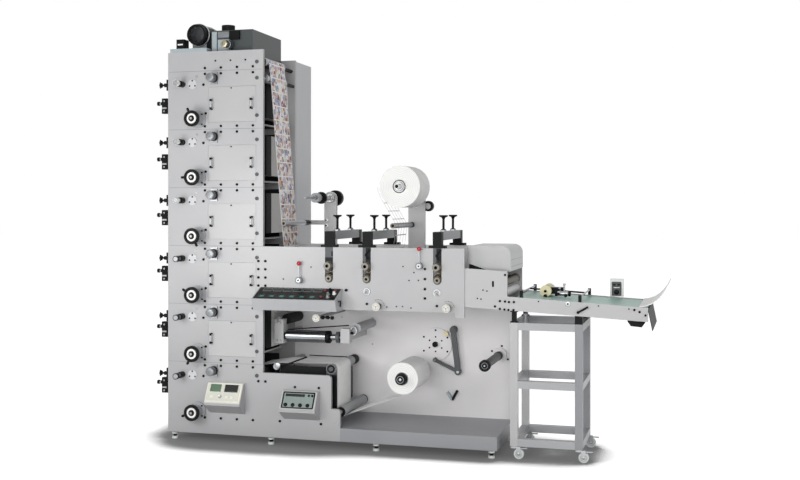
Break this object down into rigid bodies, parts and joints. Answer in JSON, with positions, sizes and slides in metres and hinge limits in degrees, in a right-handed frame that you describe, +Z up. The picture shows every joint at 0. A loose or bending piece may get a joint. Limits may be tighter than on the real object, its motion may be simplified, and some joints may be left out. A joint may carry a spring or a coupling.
{
  "type": "tower label printing press",
  "caption": "Tower label press: stacked print units with a drying hood, a die-cutting section with waste rewinders, an unwind bay, a desk console and a sheet delivery on a castored stand.",
  "frame": {"origin": "middle of the bounding box on the floor", "axes": "+X along the press from the tower to the delivery, +Y from the operator side to the gear side, +Z up"},
  "size_m": [3.577, 1.085, 2.877],
  "materials": {
    "frame_paint": "satin light grey enamel",
    "cover_paint": "satin pale grey enamel",
    "dark_paint": "dark grey-green enamel",
    "black_parts": "black phenolic and blackened parts",
    "blackened_steel": "blackened steel",
    "ground_steel": "ground steel",
    "guide_chrome": "polished",
    "roller_rubber": "smooth black rubber",
    "paper": "uncoated white",
    "box_plastic": "textured",
    "belt_green": "smooth green belt",
    "cream_rubber": "cream rubber",
    "white_sheet": "white enamel",
    "castor_parts": "zinc plated, with pale wheels"
  },
  "bodies": {
    "press": {"tower_front_plate": "frame_paint", "tower_rear_plate": "frame_paint", "base_bed": "frame_paint", "rear_wall": "frame_paint", "lower_front_plate": "frame_paint", "die_front_plate": "frame_paint", "control_console": "frame_paint", "delivery_frame": "frame_paint", "rewind_posts": "frame_paint", "bridge_beams": "frame_paint", "gear_cover": "frame_paint", "unit_covers": "cover_paint", "web_dryers": "cover_paint", "cutter_hood": "cover_paint", "unit_decks": "cover_paint", "drying_hood": "dark_paint", "blower": "dark_paint", "handwheel_housings": "dark_paint", "adjusting_knobs": "dark_paint", "wall_fittings": "dark_paint", "cover_handles": "black_parts", "edge_screws": "blackened_steel", "bridge_blocks": "blackened_steel", "pressure_screws": "blackened_steel", "levelling_feet": "blackened_steel", "hold_down_bars": "blackened_steel", "support_blocks": "blackened_steel", "belt_motor": "blackened_steel", "print_cylinders": "ground_steel", "ink_trays": "ground_steel", "idler_rollers": "ground_steel", "die_cylinders": "ground_steel", "stand_posts": "ground_steel", "stand_rails": "ground_steel", "web_guide": "guide_chrome", "inking_rollers": "roller_rubber", "printed_web": "paper", "feed_web": "paper", "control_boxes": "box_plastic", "conveyor_belt": "belt_green", "hold_down_wheels": "cream_rubber", "stacking_sheet": "white_sheet"},
    "handwheel_1": {"handwheel_1": "black_parts"},
    "handwheel_2": {"handwheel_2": "black_parts"},
    "handwheel_3": {"handwheel_3": "black_parts"},
    "handwheel_4": {"handwheel_4": "black_parts"},
    "handwheel_5": {"handwheel_5": "black_parts"},
    "handwheel_6": {"handwheel_6": "black_parts"},
    "ball_lever_1": {"ball_lever_1": "ground_steel"},
    "ball_lever_2": {"ball_lever_2": "ground_steel"},
    "rewind_mandrel": {"rewind_mandrel": "ground_steel"},
    "waste_roll": {"waste_roll": "paper"},
    "unwind_roll": {"unwind_roll": "paper"},
    "rewind_shaft": {"rewind_shaft": "ground_steel"},
    "dancer_arm": {"dancer_arm": "blackened_steel"},
    "castor_1": {"castor_1": "castor_parts"},
    "castor_2": {"castor_2": "castor_parts"},
    "castor_3": {"castor_3": "castor_parts"},
    "castor_4": {"castor_4": "castor_parts"}
  },
  "joints": [
    {"name": "handwheel_turn_1", "type": "hinge", "parent": "press", "child": "handwheel_1", "pos_m": [-1.3545, -0.4925, 0.213], "axis": [0, 1, 0], "continuous": true},
    {"name": "handwheel_turn_2", "type": "hinge", "parent": "press", "child": "handwheel_2", "pos_m": [-1.3545, -0.4925, 0.613], "axis": [0, 1, 0], "continuous": true},
    {"name": "handwheel_turn_3", "type": "hinge", "parent": "press", "child": "handwheel_3", "pos_m": [-1.3545, -0.4925, 1.013], "axis": [0, 1, 0], "continuous": true},
    {"name": "handwheel_turn_4", "type": "hinge", "parent": "press", "child": "handwheel_4", "pos_m": [-1.3545, -0.4925, 1.413], "axis": [0, 1, 0], "continuous": true},
    {"name": "handwheel_turn_5", "type": "hinge", "parent": "press", "child": "handwheel_5", "pos_m": [-1.3545, -0.4925, 1.813], "axis": [0, 1, 0], "continuous": true},
    {"name": "handwheel_turn_6", "type": "hinge", "parent": "press", "child": "handwheel_6", "pos_m": [-1.3545, -0.4925, 2.213], "axis": [0, 1, 0], "continuous": true},
    {"name": "ball_lever_throw_1", "type": "hinge", "parent": "press", "child": "ball_lever_1", "pos_m": [-0.6075, -0.4145, 1.123], "axis": [0, 1, 0], "range_deg": [-90, 0]},
    {"name": "ball_lever_throw_2", "type": "hinge", "parent": "press", "child": "ball_lever_2", "pos_m": [0.2215, -0.4145, 1.229], "axis": [0, 1, 0], "range_deg": [-90, 0]},
    {"name": "rewind_mandrel_spin", "type": "hinge", "parent": "press", "child": "rewind_mandrel", "pos_m": [-0.5945, -0.0925, 1.675], "axis": [0, 1, 0], "continuous": true},
    {"name": "waste_roll_spin", "type": "hinge", "parent": "press", "child": "waste_roll", "pos_m": [0.0475, -0.0925, 1.748], "axis": [0, 1, 0], "continuous": true},
    {"name": "unwind_roll_spin", "type": "hinge", "parent": "press", "child": "unwind_roll", "pos_m": [0.0845, -0.1325, 0.482], "axis": [0, 1, 0], "continuous": true},
    {"name": "rewind_shaft_spin", "type": "hinge", "parent": "press", "child": "rewind_shaft", "pos_m": [0.6385, -0.0925, 0.59], "axis": [0, 1, 0], "continuous": true},
    {"name": "dancer_swing", "type": "hinge", "parent": "press", "child": "dancer_arm", "pos_m": [0.3145, 0.1665, 0.755], "axis": [0, 1, 0], "range_deg": [-18, 22]},
    {"name": "castor_swivel_1", "type": "hinge", "parent": "press", "child": "castor_1", "pos_m": [0.8255, -0.3085, 0.082], "axis": [0, 0, 1], "continuous": true},
    {"name": "castor_swivel_2", "type": "hinge", "parent": "press", "child": "castor_2", "pos_m": [1.2375, -0.3085, 0.082], "axis": [0, 0, 1], "continuous": true},
    {"name": "castor_swivel_3", "type": "hinge", "parent": "press", "child": "castor_3", "pos_m": [0.8255, 0.1485, 0.082], "axis": [0, 0, 1], "continuous": true},
    {"name": "castor_swivel_4", "type": "hinge", "parent": "press", "child": "castor_4", "pos_m": [1.2375, 0.1485, 0.082], "axis": [0, 0, 1], "continuous": true}
  ]
}
